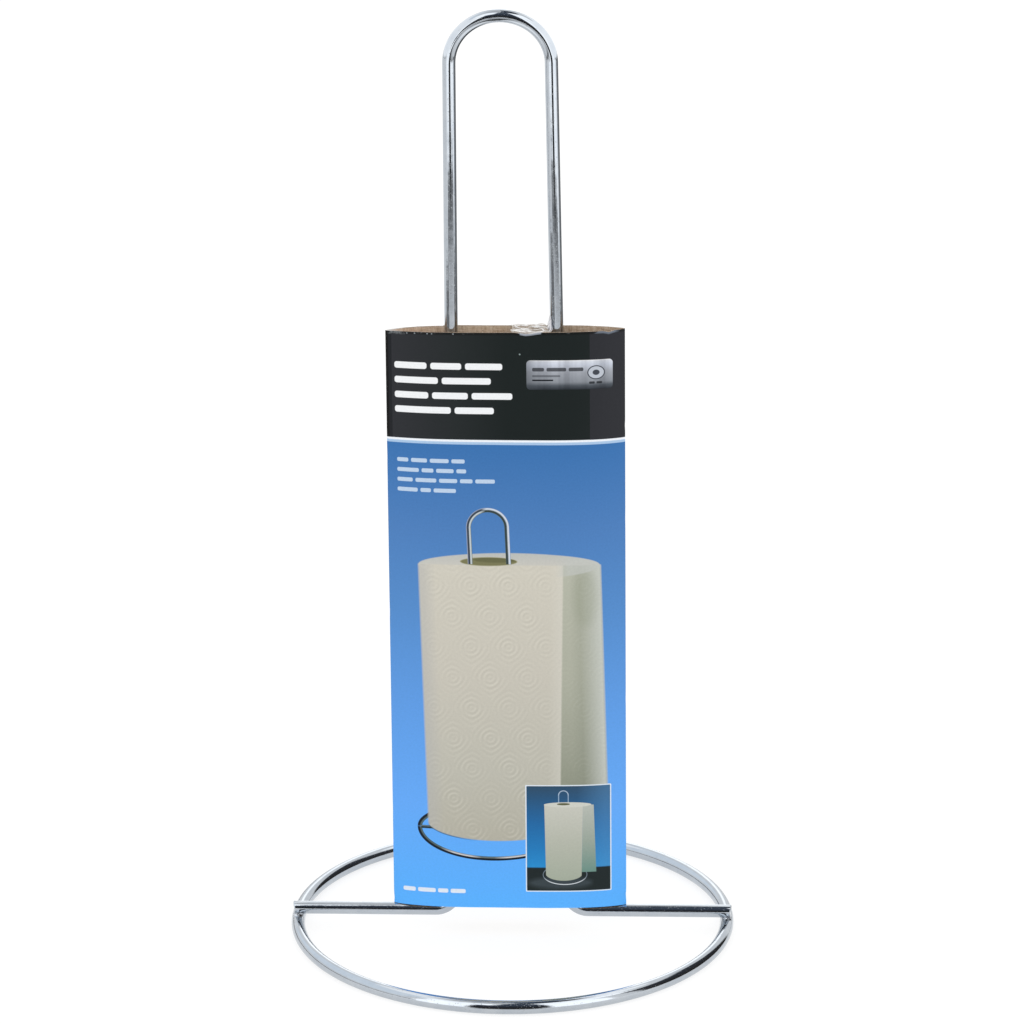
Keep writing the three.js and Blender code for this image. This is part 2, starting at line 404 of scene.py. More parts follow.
class Print(Shader):
    """Ink laid over ink. `colour` is the print so far."""

    def __init__(self, name, colour):
        super().__init__(name)
        self.point = self.uv_place("print")
        self.colour = colour
        self.across = self.part(self.point, 0)
        self.up = self.across.node.outputs[1]

    def past(self, value, limit, soft=INK_EDGE):
        """1 where `value` is over `limit` and 0 under it, or the reverse if `soft` is negative."""
        return self.line(value, 1 / soft, 0.5 - limit / soft, clamp=True)

    def cover(self, distance, soft=INK_EDGE):
        """1 inside a shape, where the distance to its edge is negative."""
        return self.past(distance, 0, -soft)

    def outline(self, distance, half_width, soft=INK_EDGE):
        away = self.math("ABSOLUTE", distance)
        return self.cover(self.math("SUBTRACT", away, half_width), soft)

    def slab(self, left, low, right, high, radius=0.25, soft=INK_EDGE):
        """A rectangle with round corners."""
        centre = ((left + right) / 2, (low + high) / 2, 0)
        inner = ((right - left) / 2 - radius, (high - low) / 2 - radius, 0)
        offset = self.vector("SUBTRACT", self.point, centre)
        beyond = self.vector("SUBTRACT", self.vector("ABSOLUTE", offset), inner)
        beyond = self.vector("MAXIMUM", beyond, (0, 0, 0))
        distance = self.math("SUBTRACT", self.vector("LENGTH", beyond), radius)
        return self.cover(distance, soft)

    def ellipse_distance(self, x, y, half_width, half_height):
        scale = (1 / half_width, 1 / half_height, 0)
        shift = (-x / half_width, -y / half_height, 0)
        scaled = self.vector("MULTIPLY_ADD", self.point, scale, shift)
        reach = self.vector("LENGTH", scaled)
        slope = self.vector("LENGTH", self.vector("MULTIPLY", scaled, scale))
        beyond = self.times(reach, self.math("SUBTRACT", reach, 1))
        return self.math("DIVIDE", beyond, slope)

    def ellipse(self, x, y, half_width, half_height, soft=INK_EDGE):
        return self.cover(self.ellipse_distance(x, y, half_width, half_height), soft)

    def right_of(self, low_point, high_point, soft=INK_EDGE):
        """The side right of a line that runs up from one point to the other."""
        along = Vector(high_point) - Vector(low_point)
        along.normalize()
        side = (along.y, -along.x, 0)
        start = side[0] * low_point[0] + side[1] * low_point[1]
        return self.past(self.vector("DOT_PRODUCT", self.point, side), start, soft)

    def above(self, height, soft=INK_EDGE):
        return self.past(self.up, height, soft)

    def both(self, first, second):
        return self.times(first, second)

    def either(self, first, second):
        return self.math("MAXIMUM", first, second)

    def without(self, first, second):
        return self.both(first, self.inverse(second))

    def paint(self, mask, colour, strength=1):
        """Lays on a tone or the colour of a socket."""
        if isinstance(colour, tuple):
            colour = ink(*colour)
        if strength != 1:
            mask = self.times(mask, strength)
        self.colour = self.mix(mask, self.colour, colour)

    def fade(self, value, low, high, *tones):
        """Tones that change as `value` runs from low to high."""
        return self.ramp(self.scale_range(value, low, high), inks(tones))

    def bars(self, left, low, thickness, widths, gap, tone, strength=1):
        """A row of plain bars where a line of lettering would be."""
        for width in widths:
            mask = self.slab(left, low, left + width, low + thickness, thickness * 0.35)
            self.paint(mask, tone, strength)
            left += width + gap


HEADER = (36, 41, 41)
# painted sheen: the header's tone lightened where light catches it near the creases
HEADER_SHEEN = (50, 51, 55)
RULE = (236, 240, 246)
PALE_RULE = (168, 196, 226)
TYPE = (238, 240, 242)
SMALL_TYPE = (196, 214, 234)

HEADER_LINE = 145.4
RULE_LINE = 144.75
PALE_RULE_LINE = 143.95
FAR_SIDE = 58.2  # from here the header turns away from the light and gets a painted sheen

BLUE = (
    (0, 93, 178, 255), (0.22, 102, 168, 244), (0.45, 95, 153, 223),
    (0.65, 86, 138, 199), (0.82, 79, 126, 185), (1, 62, 114, 174),
)


def background(art):
    """Blue that lightens downwards under a charcoal header, with a double rule between. The header has a
    painted sheen near its left crease and on its far side, and painted shade along the left crease.
    """
    art.paint(1, art.fade(art.up, 0, PALE_RULE_LINE, *BLUE))
    art.paint(art.above(PALE_RULE_LINE), PALE_RULE)
    art.paint(art.above(RULE_LINE), RULE)
    top = art.above(HEADER_LINE)
    # painted sheen near the left crease, fading into the header's own tone
    tones = ((0, *HEADER_SHEEN), (0.3, 43, 47, 48), (0.5, *HEADER), (1, *HEADER))
    art.paint(top, art.fade(art.across, 0, SLEEVE_CHORD, *tones))
    # painted sheen on the header's far side
    far_side = art.math("GREATER_THAN", art.across, FAR_SIDE)
    art.paint(art.both(top, far_side), HEADER_SHEEN)
    # painted shade along the left crease, in two dark bands
    for width, tone, strength in ((1.7, (33, 35, 38), 0.75), (0.8, (18, 20, 22), 0.9)):
        fold = art.math("LESS_THAN", art.across, width)
        art.paint(art.both(top, fold), tone, strength)


HEADING_ROWS = (
    (166.3, (9.2, 8.8, 10.6)),
    (161.9, (12.4, 14)),
    (157.4, (9.6, 10.2, 11.6)),
    (153, (16, 11.2)),
)
HEADING_LEFT = 2.5
HEADING_BAR = 1.95

SMALL_ROWS = (
    (138.2, (3.2, 4.6, 5.4, 3.8)),
    (135.2, (6.2, 3.4, 5, 2.8)),
    (132.2, (4.4, 6, 5.2, 3.6, 5.6)),
    (129.2, (5.8, 3, 6.4)),
)


def heading(art):
    for low, widths in HEADING_ROWS:
        art.bars(HEADING_LEFT, low + 0.2, HEADING_BAR, widths, 1.1, TYPE)


def small_rows(art):
    left = HEADING_LEFT + 0.4
    for low, widths in SMALL_ROWS:
        art.bars(left, low, 1.2, widths, 0.8, SMALL_TYPE, 0.9)
    art.bars(left, 4.5, 1.3, (3.6, 5.2, 3, 4.4), 0.7, TYPE, 0.85)


def badge(art):
    """A brushed metal plate printed in the header, with plain shapes on it."""
    left, low, right, high = 40.2, 160.7, 64.7, 169.5
    plate = art.slab(left, low, right, high, 1.1)
    tones = (
        (0, 48, 52, 58), (0.14, 84, 90, 97), (0.26, 138, 143, 150), (0.6, 162, 166, 174),
        (0.85, 198, 204, 216), (0.97, 214, 218, 226), (1, 250, 250, 250),
    )
    metal = art.fade(art.up, low, high, *tones)
    streaks = art.noise(art.stretched(art.point, 0.3, 0.012), 1, 2, 0.5)
    shade = art.ramp(streaks, [(0.38, (0.5, 0.5, 0.52, 1)), (0.6, grey(1.08))])
    art.paint(plate, art.mix(0.5, metal, shade, "MULTIPLY"))
    from_left = art.scale_range(art.across, left, left + 5)
    dim = art.ramp(from_left, [(0, grey(0.5)), (1, grey(0))])
    art.paint(art.both(plate, dim), (70, 75, 82))
    text_left = left + 1.6
    art.bars(text_left, 163.3, 0.45, (6,), 0.5, (30, 32, 36))
    art.bars(text_left, 166.2, 1.1, (3.4, 5.6, 4.2), 0.7, (46, 48, 52), 0.85)
    art.bars(text_left, 164.5, 0.6, (8,), 0.5, (60, 64, 70), 0.6)
    rounds = ((2.5, 2.1, (64, 68, 76)), (2.2, 1.8, (188, 194, 204)), (1, 0.8, (70, 74, 82)))
    for half_width, half_height, tone in rounds:
        art.paint(art.ellipse(60, 165.7, half_width, half_height), tone)
    art.bars(58, 162.3, 0.7, (1.6, 1.6), 0.5, (34, 36, 40), 0.85)


LEFT_WIRE = (
    (0, 176, 182, 204), (0.15, 96, 106, 122), (0.3, 50, 58, 68), (0.5, 76, 86, 94),
    (0.65, 202, 210, 214), (0.82, 186, 195, 196), (1, 80, 95, 92),
)
RIGHT_WIRE = (
    (0, 92, 108, 106), (0.15, 52, 62, 60), (0.45, 68, 80, 82),
    (0.6, 186, 196, 206), (0.8, 214, 222, 236), (1, 118, 140, 172),
)
RING_LIT = (
    (0, 92, 110, 122), (0.2, 176, 178, 180), (0.4, 224, 222, 222),
    (0.52, 70, 76, 84), (0.7, 20, 26, 34), (1, 34, 46, 62),
)
RING_DARK = (
    (0, 62, 92, 112), (0.3, 92, 108, 106), (0.5, 44, 54, 58), (0.7, 18, 24, 32), (1, 34, 46, 62),
)


def printed_wire(art, distance, wire, tones):
    """A chromed wire along the curve where the distance is 0, with tones from side to side."""
    off = art.times(distance, 1 / wire)
    body = art.cover(art.line(art.math("ABSOLUTE", off), wire, -wire / 2))
    return body, art.ramp(art.math("ADD", off, 0.5), inks(tones))


EMBOSSED_RING = 1.35  # from one embossed ring to the next
EMBOSSING_LIGHT = (-0.5, 0.86, 0)
EMBOSSING_CORNER = (0.78, 0.7, 0)


def embossing(art, pitch_x, pitch_y, centre):
    """Light and shade on rings embossed in staggered rows, from about -1 to 1."""
    size = (pitch_x, pitch_y, 0)
    reaches = []
    reliefs = []
    for stagger in (0, 0.5):
        shift = (0.5 + stagger - centre[0] / pitch_x, 0.5 + stagger - centre[1] / pitch_y, 0)
        cell = art.vector("MULTIPLY_ADD", art.point, (1 / pitch_x, 1 / pitch_y, 0), shift)
        cell = art.vector("SUBTRACT", art.vector("FRACTION", cell), (0.5, 0.5, 0))
        offset = art.vector("MULTIPLY", cell, size)
        reach = art.vector("LENGTH", offset)
        lit = art.vector("DOT_PRODUCT", offset, EMBOSSING_LIGHT)
        spread = art.vector("ABSOLUTE", offset)
        corner = art.vector("DOT_PRODUCT", spread, EMBOSSING_CORNER)
        pointed = art.scale_range(reach, 1.8, 4.2, 0, 0.42)
        turned = art.line(art.math("SUBTRACT", corner, reach), pointed, reach)
        wave = art.math("SINE", art.times(turned, 2 * math.pi / EMBOSSED_RING))
        wave = art.times(art.times(wave, lit), art.scale_range(reach, 2.6, 4.6, 0.95, 0.4))
        reliefs.append(art.math("DIVIDE", wave, art.math("ADD", reach, 0.4)))
        reaches.append(reach)
    nearer = art.math("LESS_THAN", reaches[1], reaches[0])
    first = art.times(reliefs[0], art.inverse(nearer))
    return art.line(reliefs[1], nearer, first)


RING_X, RING_Y = 29.6, 25.3
RING_HALF_WIDTH = 21.6
RING_WIRE_PRINTED = 1.3
GLINTS = (
    (0, 0), (0.2, 0), (0.33, 1), (0.5, 1), (0.6, 0.1), (0.72, 0.1), (0.85, 1), (1, 1),
)


def printed_base(art):
    """The holder's ring and spoke, on the blue below the roll."""
    low_half = art.ellipse_distance(RING_X, RING_Y, RING_HALF_WIDTH, 9.7)
    high_half = art.ellipse_distance(RING_X, RING_Y, RING_HALF_WIDTH, 7.6)
    upper = art.above(RING_Y, 0.6)
    body, dark = printed_wire(art, low_half, RING_WIRE_PRINTED, RING_DARK)
    lit = printed_wire(art, low_half, RING_WIRE_PRINTED, RING_LIT)[1]
    stops = [(place, grey(part)) for place, part in GLINTS]
    glint = art.ramp(art.scale_range(art.across, 8, 38), stops)
    art.paint(art.without(body, upper), art.mix(glint, dark, lit))
    body, dark = printed_wire(art, high_half, RING_WIRE_PRINTED, RING_DARK)
    art.paint(art.both(body, upper), dark)
    art.paint(art.slab(8.4, 24.7, 12, 25.7, 0.1), (44, 54, 56))
    art.paint(art.slab(8.4, 25.3, 12, 25.6, 0.1), (120, 140, 150), 0.7)


LOOP_WIRE_PRINTED = 1.4
LOOP_LEG_LOW = 107.5
LOOP_ARCH_LOW = 118.7


def printed_loop(art):
    """The top of the holder's upright loop, standing out of the roll's core."""
    for x_low, x_high, tones in ((23.6, 23.2, LEFT_WIRE), (34.6, 34.2, RIGHT_WIRE)):
        slant = (x_low - x_high) / 11
        leg = art.vector("DOT_PRODUCT", art.point, (1, slant, 0))
        leg = art.math("SUBTRACT", leg, x_high + slant * LOOP_ARCH_LOW)
        body, metal = printed_wire(art, leg, LOOP_WIRE_PRINTED, tones)
        span = art.without(art.above(LOOP_LEG_LOW), art.above(LOOP_ARCH_LOW))
        art.paint(art.both(body, span), metal)
    arch = art.ellipse_distance(28.7, LOOP_ARCH_LOW, 5.5, 5.4)
    body, metal = printed_wire(art, arch, LOOP_WIRE_PRINTED, RIGHT_WIRE)
    outside_in = printed_wire(art, art.times(arch, -1), LOOP_WIRE_PRINTED, LEFT_WIRE)[1]
    metal = art.mix(art.right_of((25, 118), (27.5, 124), 1.2), outside_in, metal)
    art.paint(art.both(body, art.above(LOOP_ARCH_LOW)), metal)


ROLL_LOW_LEFT, ROLL_HIGH_LEFT = (10.6, 26.4), (8.6, 107.3)
FOLD_LOW, FOLD_HIGH = (49, 26), (50.3, 107.5)
SHEET_LOW_RIGHT, SHEET_HIGH_RIGHT = (63, 26), (60.9, 107.4)
EMBOSSING_PITCH = (10.86, 19)
EMBOSSING_CENTRE = (23.54, 100.9)


def printed_paper(art):
    """The roll itself and the sheet that hangs off it."""
    left_edge = art.right_of(ROLL_LOW_LEFT, ROLL_HIGH_LEFT, 0.7)
    right_edge = art.right_of(SHEET_LOW_RIGHT, SHEET_HIGH_RIGHT, 0.9)
    below_rim = art.above(107.2, -0.3)
    foot = art.ellipse_distance(31, 27.4, 20.8, 6.2)
    shadow = art.both(art.cover(art.math("SUBTRACT", foot, 0.3), 0.3), left_edge)
    shadow = art.without(shadow, art.above(26, 2))
    shadow = art.without(shadow, art.right_of((22, 10), (22, 30), 8))
    art.paint(shadow, (48, 76, 92), 0.8)

    above_foot = art.either(art.above(27.4), art.cover(foot, 0.3))
    band = art.both(art.without(left_edge, right_edge), art.both(below_rim, above_foot))
    crown = art.ellipse(34.7, 107, 26.1, 3.95, 0.3)
    art.paint(crown, art.fade(art.up, 104.6, 110.6, (0, 204, 200, 190), (1, 186, 188, 184)))
    tones = ((0, 178, 175, 161), (0.25, 187, 185, 173), (0.6, 197, 193, 181), (1, 204, 200, 187))
    art.paint(band, art.fade(art.up, 20, 108, *tones))
    fold = art.right_of(FOLD_LOW, FOLD_HIGH, 0.5)
    sheet = art.both(band, fold)
    tones = ((0, 140, 144, 128), (0.2, 155, 158, 143), (0.5, 171, 173, 158), (1, 180, 182, 167))
    art.paint(sheet, art.fade(art.up, 36, 108, *tones))

    lit_edge = art.right_of((59.4, 26), (57.6, 107.4), 6)
    art.paint(art.both(sheet, lit_edge), (196, 200, 194), 0.8)
    dark_side = art.without(art.right_of((54.4, 26), (53.4, 107.4), 3), lit_edge)
    art.paint(art.both(sheet, dark_side), (128, 134, 120), 0.25)
    hollow = art.ellipse(56.6, 97, 3.4, 8.5, 3)
    art.paint(art.both(sheet, hollow), (140, 146, 124), 0.28)
    turn_away = art.without(band, art.right_of((13.6, 26.4), (11.6, 107.3), 3.5))
    art.paint(turn_away, (176, 176, 174), 0.5)
    glow = art.without(art.right_of((47, 26), (48, 107.5), 3), fold)
    art.paint(art.both(band, glow), (214, 212, 202), 0.3)

    relief = embossing(art, *EMBOSSING_PITCH, EMBOSSING_CENTRE)
    patches = art.noise(art.point, 0.09, 2, 0.5)
    middle = art.right_of((14, 26), (12, 107), 8)
    middle = art.without(middle, art.right_of((44, 26), (46, 107), 9))
    depth = art.line(middle, 0.7, 0.2)
    depth = art.times(depth, art.scale_range(patches, 0.3, 0.7, 0.55, 1.3))
    relief = art.both(art.both(band, relief), depth)
    art.paint(art.math("MAXIMUM", relief, 0), (236, 233, 222), 0.24)
    art.paint(art.math("MAXIMUM", art.times(relief, -1), 0), (140, 136, 120), 0.19)

    art.paint(art.both(crown, art.right_of((50, 100), (50, 110), 4)), (190, 193, 188), 0.7)
    rim = art.outline(art.ellipse_distance(29.6, 107.3, 20.9, 2.85), 0.2, 0.7)
    rim = art.without(art.without(rim, art.above(107.2, 1.6)), fold)
    art.paint(art.both(rim, left_edge), (210, 207, 196), 0.25)


CORE_X, CORE_Y = 28.9, 108.3


def printed_roll(art):
    """A picture of the holder with a roll on it."""
    printed_base(art)
    printed_paper(art)
    art.paint(art.ellipse(CORE_X, CORE_Y, 8.3, 1.4), (160, 158, 128))
    core = art.ellipse(CORE_X, CORE_Y, 8, 1.2)
    art.paint(core, (122, 121, 88))
    art.paint(art.both(core, art.ellipse(31, 108.9, 6.5, 0.9, 0.4)), (92, 94, 66), 0.6)
    printed_loop(art)


INSET_WALL = (
    (0, 48, 142, 206), (0.25, 44, 124, 186), (0.55, 44, 106, 162),
    (0.85, 50, 88, 124), (1, 56, 80, 102),
)


def inset(art):
    """A small framed picture of the same holder in use."""
    left, low, right, high = 38.9, 5.2, 63.9, 38.9
    border = 0.32
    art.paint(art.slab(left, low, right, high, 0.3), (222, 232, 242))
    inner = art.slab(left + border, low + border, right - border, high - border)
    art.paint(inner, art.fade(art.up, 12, high, *INSET_WALL))
    art.paint(art.both(inner, art.right_of((58, 10), (58, 30), 8)), (92, 146, 194), 0.35)
    counter = art.without(inner, art.above(12.9, 0.4))
    art.paint(counter, (40, 47, 48))
    art.paint(art.both(counter, art.ellipse(49, 8, 9, 1.8, 1.6)), (74, 84, 90), 0.6)

    ring = art.outline(art.ellipse_distance(50.35, 10.6, 6.4, 3.1), 0.1)
    art.paint(ring, (120, 134, 146))
    art.paint(art.without(ring, art.above(9, 1.5)), (226, 232, 238))
    for x in (48.6, 51.4):
        art.paint(art.slab(x - 0.13, 32.4, x + 0.13, 35.9, 0.1), (150, 175, 200))
    arch = art.outline(art.ellipse_distance(50, 35.7, 1.4, 1.4), 0.13)
    art.paint(art.both(arch, art.above(35.7)), (170, 190, 210))

    past_roll = art.right_of((55.2, 10.5), (55.7, 32.8))
    sheet = art.without(past_roll, art.right_of((59.5, 10.9), (58.8, 32.4)))
    sheet = art.both(sheet, art.without(art.above(11.4), art.above(32.6)))
    tones = ((0, 100, 140, 130), (0.5, 154, 165, 154), (1, 182, 186, 178))
    art.paint(sheet, art.fade(art.up, 10, 33, *tones))
    roll = art.without(art.right_of((44.8, 10.5), (44.4, 32.8)), past_roll)
    foot = art.either(art.above(10.9), art.ellipse(50.1, 11, 5.4, 2.3))
    tones = ((0, 164, 172, 156), (0.5, 180, 183, 170), (1, 198, 198, 188))
    art.paint(art.both(roll, art.without(foot, art.above(32.7))), art.fade(art.up, 9, 33, *tones))
    art.paint(art.ellipse(51.2, 32.7, 6.9, 0.8), (204, 205, 196))
    art.paint(art.ellipse(50, 32.9, 1.9, 0.35), (96, 98, 74))


BACK_PANEL_ROWS = (118, 114, 110, 106, 99, 95, 91, 84, 80, 76, 72)
BACK_PANEL_BARS = ((9, 6, 11, 7), (7, 12, 5, 8), (11, 5, 9))


def back_panel(art):
    """A guess at the side that the photo doesn't show: a pale panel with rows of bars."""
    left = SLEEVE_CHORD + 16
    right = 2 * SLEEVE_CHORD - 8
    art.paint(art.slab(left, 62, right, 128, 1.6), (226, 234, 242))
    for number, low in enumerate(BACK_PANEL_ROWS):
        art.bars(left + 3, low, 1.3, BACK_PANEL_BARS[number % 3], 1, (70, 92, 122), 0.85)
    for low, widths in HEADING_ROWS[:2]:
        art.bars(left, low - 4, HEADING_BAR, widths, 1.1, TYPE)


RIM_CHIPS = (6.2, 8.4, 12, 13.3, 19.4)


def wear(art):
    """Scuffs where the print has rubbed through to the white liner, a painted shade along the top edge,
    and the clear tape's pale look where it crosses the edge, painted as its highlight.
    """
    fine = art.noise(art.point, 1.1, 5, 0.75)
    coarse = art.noise(art.point, 0.16, 2, 0.5)
    # painted shade: a dark band just under the top edge
    art.paint(art.above(SLEEVE_HEIGHT - 0.75, 0.4), (18, 22, 23), 0.6)
    near_top = art.above(SLEEVE_HEIGHT - 0.35, 0.5)
    near_foot = art.inverse(art.above(0.25, 0.5))
    near_fold = art.past(art.across, 0.2, -0.6)
    rims = art.either(art.either(near_top, near_foot), near_fold)
    rubbed = art.line(fine, 9, -5.4, clamp=True)
    art.paint(art.both(rims, rubbed), (200, 202, 204), 0.75)
    patch = art.line(coarse, 14, -9.2, clamp=True)
    speck = art.line(fine, 16, -11.6, clamp=True)
    art.paint(art.both(patch, speck), (214, 218, 222), 0.4)
    peel = art.both(art.right_of((58, 176.6), (61, 178.1), 0.3), art.above(177.4, 0.4))
    peel = art.without(peel, art.right_of((66, 170), (66, 180), 1.5))
    on_front = art.math("LESS_THAN", art.across, SLEEVE_CHORD)
    art.paint(art.both(peel, on_front), (118, 127, 140), 0.8)
    art.paint(art.ellipse(38.3, 171.3, 0.22, 0.22), (180, 200, 200), 0.6)
    for across in RIM_CHIPS:
        art.paint(art.ellipse(across, SLEEVE_HEIGHT - 0.42, 0.2, 0.2), (170, 180, 186), 0.6)
    corner = art.slab(0.7, SLEEVE_HEIGHT - 0.8, 5.6, SLEEVE_HEIGHT, 0.2, 0.5)
    worn = art.line(fine, 5, -2.2, clamp=True)
    art.paint(art.both(corner, worn), (160, 166, 170), 0.7)
    # painted highlight: the clear tape's pale bluish sheen where it crosses the front edge
    tape_highlight = art.slab(38.4, SLEEVE_HEIGHT - 0.4, 44.4, SLEEVE_HEIGHT + 1, 0.1, 0.3)
    art.paint(tape_highlight, (176, 184, 196), 0.8)


def printed_material():
    art = Print("printed_card", srgb(120, 170, 220))
    for layer in (background, heading, badge, small_rows, printed_roll, inset, back_panel, wear):
        layer(art)

    mottle = art.noise(art.stretched(art.point, 1, 1), 1.6, 4, 0.7)
    tone = art.scale_range(mottle, 0.3, 0.7, 0.955, 1.045)
    colour = art.vector("MULTIPLY", art.colour, art.add("CombineXYZ", (tone, tone, tone)))
    waves = art.noise(art.stretched(art.point, 0.05, 0.02), 1, 2, 0.5)
    grain = art.noise(art.point, 3, 3, 0.6)
    roughness = art.scale_range(grain, 0.3, 0.7, 0.33, 0.45)
    normal = art.bump(waves, 0.4, 0.5)
    normal = art.bump(grain, 0.15, 0.02, normal)
    return art.finish(Base_Color=colour, Roughness=roughness, Specular_IOR_Level=0.16, Normal=normal)


# ---- tape ----


def tape_material():
    """Clear film: nearly invisible where flat, with painted highlights, white, along its creases, milky
    up the leg.
    """
    shader = Shader("clear_tape")
    film = shader.uv_place("film")
    crinkle = shader.noise(shader.stretched(film, 0.17, 0.5), 1, 2.5, 0.55)
    # painted highlight: the film's crinkle ridges painted white and more opaque
    ridge_highlight = shader.math("ABSOLUTE", shader.math("SUBTRACT", crinkle, 0.5))
    ridge_highlight = shader.line(ridge_highlight, -13, 1, clamp=True)
    tail = shader.scale_range(shader.part(film, 0), 8.2, 9)
    alpha = shader.scale_range(ridge_highlight, 0, 1, 0.26, 0.97)
    alpha = shader.line(tail, 0.25, alpha, clamp=True)
    shade = shader.mix(tail, srgb(206, 194, 180), srgb(190, 192, 204))
    colour = shader.mix(ridge_highlight, shade, srgb(255, 255, 255))
    normal = shader.bump(crinkle, 0.8, 0.5)
    looks = {"Base_Color": colour, "Alpha": alpha, "Normal": normal}
    return shader.finish(**looks, Roughness=0.12, Specular_IOR_Level=0.8)


# ---- wire shapes ----

WIRE_SIDES = 40
RING_STEPS = 360


def wire_mesh(draft, path, radii, across, closed):
    """A round wire along a flat path. `across` is the direction square to the path's plane."""
    count = len(path)
    lengths = [0]
    for i in range(1, count + 1):
        lengths.append(lengths[-1] + (path[i % count] - path[i - 1]).length)
    for i, centre in enumerate(path):
        before = path[i - 1] if closed or i > 0 else path[0]
        after = path[(i + 1) % count] if closed or i < count - 1 else path[-1]
        out = (after - before).normalized().cross(across)
        for j in range(WIRE_SIDES):
            angle = 2 * math.pi * j / WIRE_SIDES
            arm = out * math.cos(angle) + across * math.sin(angle)
            draft.points.append(centre + arm * radii[i])
    girth = 2 * math.pi * max(radii)

    def uv(row, column):
        return girth * column / WIRE_SIDES, lengths[row]

    draft.add_grid(0, count, WIRE_SIDES, uv, (closed, True))
    for row, turn in () if closed else ((0, -1), (count - 1, 1)):
        hub = draft.add_points([path[row]])
        for j in range(WIRE_SIDES):
            rim = [row * WIRE_SIDES + j, row * WIRE_SIDES + (j + 1) % WIRE_SIDES]
            draft.add_face([hub, *rim[::turn]])


def base_ring(material):
    path = []
    for i in range(RING_STEPS):
        angle = 2 * math.pi * i / RING_STEPS
        path.append(Vector((math.cos(angle), math.sin(angle), 0)) * RING_RADIUS)
        path[-1].z = RING_WIRE / 2
    draft = MeshDraft()
    wire_mesh(draft, path, [RING_WIRE / 2] * RING_STEPS, UP, True)
    ring = draft.build("base_ring_wire", [material], "wire")
    put_in_frame(ring, "holder", "chrome_wire", "base_ring")


def bend_points(start, corner, end, steps=20):
    """An arc of BEND_RADIUS that rounds off `corner`."""
    back = (start - corner).normalized()
    onward = (end - corner).normalized()
    half = back.angle(onward) / 2
    reach = BEND_RADIUS / math.tan(half)
    centre = corner + (back + onward).normalized() * (BEND_RADIUS / math.sin(half))
    arm = corner + back * reach - centre
    turn = math.pi - 2 * half
    axis = onward.cross(back).normalized()
    return [centre + Matrix.Rotation(turn * i / steps, 3, axis) @ arm for i in range(steps + 1)]


def straight_points(start, end, spacing):
    """Points between two ends, without the ends."""
    count = max(int((end - start).length / spacing), 1)
    return [start.lerp(end, i / count) for i in range(1, count)]


def at_upright(x, z):
    return Vector((x, UPRIGHT_Y, z))


END_ROUNDING = 0.35
END_SHEAR = 0.22  # the cutter left the spokes' ends slanted, longer below
ARCH_STEPS = 72
SPOKE_SPACING = 1.5
LEG_SPACING = 2.5


def upright_path():
    left_end = at_upright(-SPOKE_END_X, SPOKE_Z)
    right_end = at_upright(SPOKE_END_X, SPOKE_Z)
    left_corner = at_upright(-LEG_SPACING_BOTTOM / 2, SPOKE_Z)
    right_corner = at_upright(LEG_SPACING_BOTTOM / 2, SPOKE_Z)
    arch = []
    for i in range(ARCH_STEPS + 1):
        angle = math.pi * i / ARCH_STEPS
        x = LOOP_LEAN - LEG_SPACING_TOP / 2 * math.cos(angle)
        arch.append(at_upright(x, ARCH_BASE_Z + ARCH_RISE * math.sin(angle)))
    left_bend = bend_points(left_end, left_corner, arch[0])
    right_bend = bend_points(arch[-1], right_corner, right_end)
    ends = [END_ROUNDING * (1 - math.cos(math.pi / 2 * i / 5)) for i in range(6)]
    path = [left_end + Vector((step, 0, 0)) for step in ends]
    path += straight_points(path[-1], left_bend[0], SPOKE_SPACING) + left_bend
    path += straight_points(left_bend[-1], arch[0], LEG_SPACING) + arch
    path += straight_points(arch[-1], right_bend[0], LEG_SPACING) + right_bend
    close = [right_end - Vector((step, 0, 0)) for step in reversed(ends)]
    path += straight_points(right_bend[-1], close[0], SPOKE_SPACING) + close
    return path


def upright_loop(material):
    path = upright_path()
    radii = []
    for point in path:
        short = max(END_ROUNDING - (SPOKE_END_X - abs(point.x)), 0)
        radii.append(UPRIGHT_WIRE / 2 + math.sqrt(END_ROUNDING**2 - short**2) - END_ROUNDING)
    draft = MeshDraft()
    wire_mesh(draft, path, radii, Vector((0, 1, 0)), False)
    for point in draft.points:
        near_end = smoothstep(SPOKE_END_X - 2, SPOKE_END_X - 0.6, abs(point.x))
        point.x += math.copysign(END_SHEAR * (SPOKE_Z - point.z) * near_end, point.x)
    loop = draft.build("upright_loop_wire", [material], "wire", 50)
    put_in_frame(loop, "holder", "chrome_wire", "upright_loop")


# ---- welds ----

WELD_FILLET = 1.5  # how wide the metal flows between the two wires
WELD_REACH = 4.6
WELD_SUNK = 0.06  # how far the lump's skirt lies under the wires' own surface
WELD_RINGS, WELD_SIDES = 60, 96
WALK_FROM, WALK_STEP, WALK_CLOSE = 0.2, 0.01, 0.004  # how the surface is looked for, in mm


def weld_distance(point, side):
    """Distance to the two wires with the corner between them filled."""
    ring = math.hypot(math.hypot(point.x, point.y) - RING_RADIUS, point.z - RING_WIRE / 2)
    ring -= RING_WIRE / 2
    spoke = math.hypot(point.y - UPRIGHT_Y, point.z - SPOKE_Z) - UPRIGHT_WIRE / 2
    spoke = max(spoke, side * point.x - SPOKE_END_X)
    mixed = max(WELD_FILLET - abs(ring - spoke), 0) / WELD_FILLET
    blend = mixed * mixed * WELD_FILLET / 4
    rough = ripple(*point, 1.3, side + 3) * 0.30 + ripple(*point, 0.5, side + 9) * 0.10
    return min(ring, spoke) - blend * (1 + rough * 2.2) + WELD_SUNK


